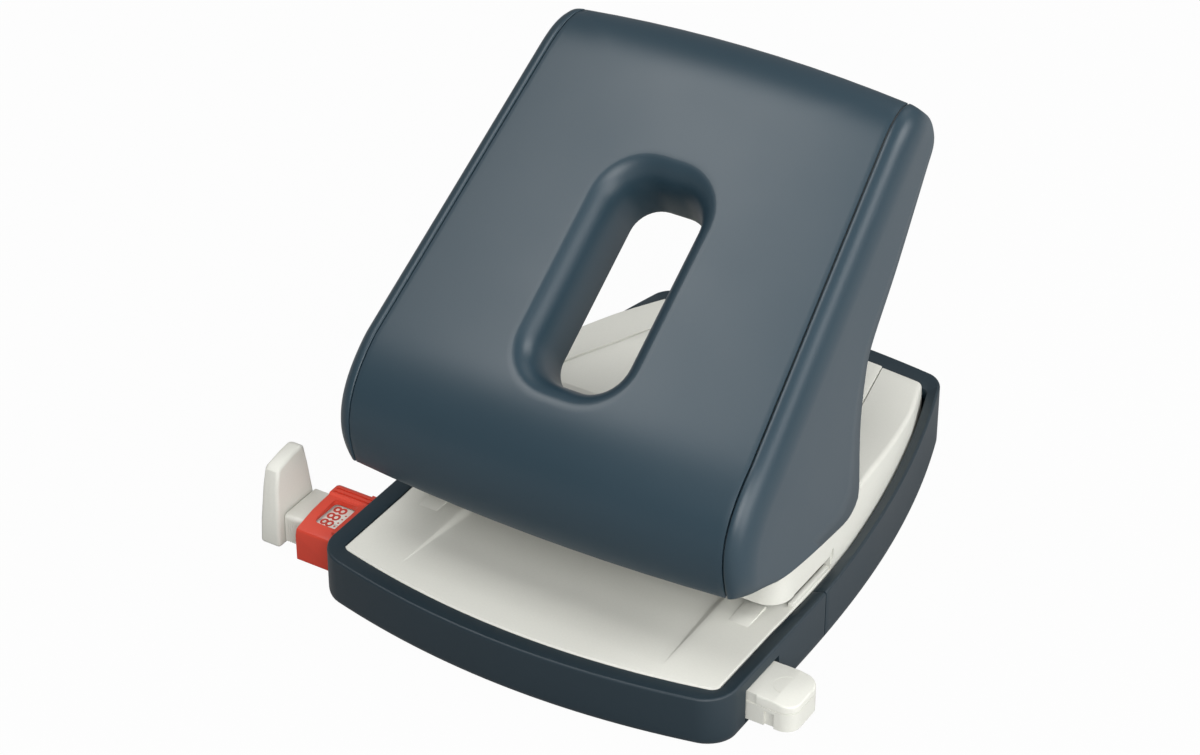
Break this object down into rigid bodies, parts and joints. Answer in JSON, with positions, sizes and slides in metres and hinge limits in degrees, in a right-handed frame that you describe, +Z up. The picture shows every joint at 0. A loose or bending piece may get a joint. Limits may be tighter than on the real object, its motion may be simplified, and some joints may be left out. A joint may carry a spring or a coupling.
{
  "type": "two hole punch",
  "caption": "Desk punch for two holes with a broad slanted lever hood, an open front paper slot, a sliding paper guide with an upright stop and a pull-out chip tray.",
  "frame": {"origin": "on the table surface under the middle of the front non-slip strip, on the machine's plane of symmetry and under the guide bar's axis", "axes": "+Z up, -Y towards the paper slot's open front where the user stands, +X towards the user's right"},
  "size_m": [0.1365, 0.1361, 0.1102],
  "materials": {
    "dark_plastic": "satin dark blue-grey",
    "dark_paint": "satin dark blue-grey paint",
    "light_plastic": "satin off-white",
    "red_plastic": "satin red",
    "frame_steel": "zinc plated",
    "hard_steel": "ground",
    "spring_steel": "drawn",
    "screw_steel": "zinc plated",
    "black_rubber": "matt"
  },
  "bodies": {
    "base": {"front_shell": "dark_plastic", "paper_table": "light_plastic", "mechanism_cover": "light_plastic", "centre_panel": "light_plastic", "base_plate": "frame_steel", "punch_frame": "frame_steel", "die_left": "hard_steel", "die_right": "hard_steel", "guide_bush_left": "frame_steel", "guide_bush_right": "frame_steel", "pin_spring_left": "spring_steel", "pin_spring_right": "spring_steel", "hinge_pin": "hard_steel", "hinge_clip_left": "spring_steel", "hinge_clip_right": "spring_steel", "format_window": "red_plastic", "guide_detent": "spring_steel", "front_pad": "black_rubber", "base_screw_1": "screw_steel", "base_screw_2": "screw_steel", "base_screw_3": "screw_steel", "base_screw_4": "screw_steel", "cover_screw_left": "screw_steel", "cover_screw_right": "screw_steel", "frame_screw_left": "screw_steel", "frame_screw_right": "screw_steel"},
    "lever": {"lever_frame": "frame_steel", "press_bar": "hard_steel", "lever_cover": "dark_paint", "lever_side_left": "dark_paint", "lever_side_right": "dark_paint"},
    "pin_left": {"punch_pin_left": "hard_steel"},
    "pin_right": {"punch_pin_right": "hard_steel"},
    "guide": {"guide_bar": "light_plastic", "guide_stop": "light_plastic", "guide_bar_end": "light_plastic", "format_strip": "light_plastic"},
    "tray": {"chip_tray": "dark_plastic", "rear_foot_left": "black_rubber", "rear_foot_right": "black_rubber"}
  },
  "joints": [
    {"name": "lever_hinge", "type": "hinge", "parent": "base", "child": "lever", "pos_m": [0, 0.009, 0.0335], "axis": [-1, 0, 0], "range_deg": [0, 24], "stiffness_Nm_per_rad": 0.6, "springref_deg": -28.65},
    {"name": "pin_slide_left", "type": "slide", "parent": "base", "child": "pin_left", "axis": [0, 0, -1], "range_m": [0, 0.0071], "deforming": ["pin_spring_left"]},
    {"name": "pin_slide_right", "type": "slide", "parent": "base", "child": "pin_right", "axis": [0, 0, -1], "range_m": [0, 0.0071], "deforming": ["pin_spring_right"]},
    {"name": "guide_slide", "type": "slide", "parent": "base", "child": "guide", "axis": [-1, 0, 0], "range_m": [0, 0.08]},
    {"name": "tray_slide", "type": "slide", "parent": "base", "child": "tray", "axis": [0, 1, 0], "range_m": [0, 0.06]}
  ],
  "couplings": [
    {"joint": "pin_slide_left", "follows": "lever_hinge", "m_per_rad": 0.0163},
    {"joint": "pin_slide_right", "follows": "lever_hinge", "m_per_rad": 0.0163}
  ]
}
